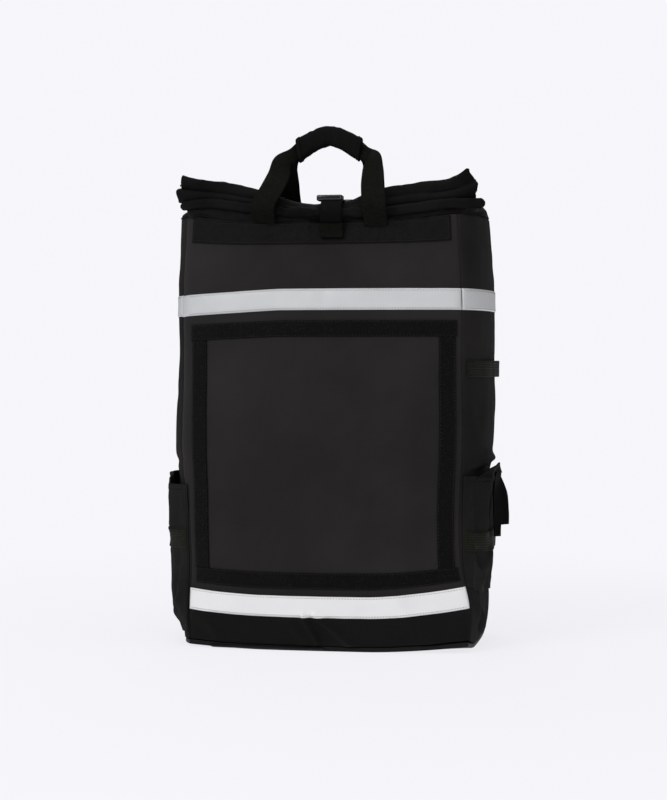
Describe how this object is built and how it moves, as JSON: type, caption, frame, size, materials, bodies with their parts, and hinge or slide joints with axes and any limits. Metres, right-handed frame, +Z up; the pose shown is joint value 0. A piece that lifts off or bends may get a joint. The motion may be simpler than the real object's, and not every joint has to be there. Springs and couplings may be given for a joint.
{
  "type": "roll-top backpack",
  "caption": "Tall black cloth backpack with a rolled top held by a strap, a grab handle, reflective bands, hook-and-loop strips and side pockets.",
  "frame": {"origin": "on the floor under the middle of the body, on the base's underside", "axes": "+Z up, the front with the hook-and-loop strips faces -Y, +X to the right seen from the front"},
  "size_m": [0.4233, 0.2902, 0.6326],
  "materials": {
    "charcoal_cloth": "matte",
    "back_cloth": "matte",
    "base_cloth": "satin",
    "strap_pad": "matte",
    "webbing": "matte",
    "loop_pile": "matte",
    "silver_reflective": "satin",
    "white_reflective": "satin",
    "black_plastic": "gloss"
  },
  "bodies": {
    "root": {"front_panel": "charcoal_cloth", "side_panel_left": "charcoal_cloth", "side_panel_right": "charcoal_cloth", "top_collar": "charcoal_cloth", "roll_top": "charcoal_cloth", "roll_lip": "charcoal_cloth", "side_pocket_left": "charcoal_cloth", "side_pocket_right": "charcoal_cloth", "handle_grip": "charcoal_cloth", "back_panel": "back_cloth", "base_panel": "base_cloth", "closure_strap": "webbing", "closure_tail": "webbing", "handle_front_strap": "webbing", "handle_rear_strap": "webbing", "pocket_webbing_left": "webbing", "pocket_webbing_right": "webbing", "side_loop_right": "webbing", "side_tail_right": "webbing", "side_tail_inner_right": "webbing", "strap_webbing_left": "webbing", "strap_webbing_right": "webbing", "top_strip": "loop_pile", "loop_tape_top": "loop_pile", "loop_tape_bottom": "loop_pile", "loop_tape_left": "loop_pile", "loop_tape_right": "loop_pile", "reflective_tape_upper": "silver_reflective", "reflective_tape_upper_left": "silver_reflective", "reflective_tape_upper_right": "silver_reflective", "reflective_tape_lower": "white_reflective", "closure_slider": "black_plastic", "shoulder_strap_left": "strap_pad", "shoulder_strap_right": "strap_pad"}
  },
  "joints": []
}
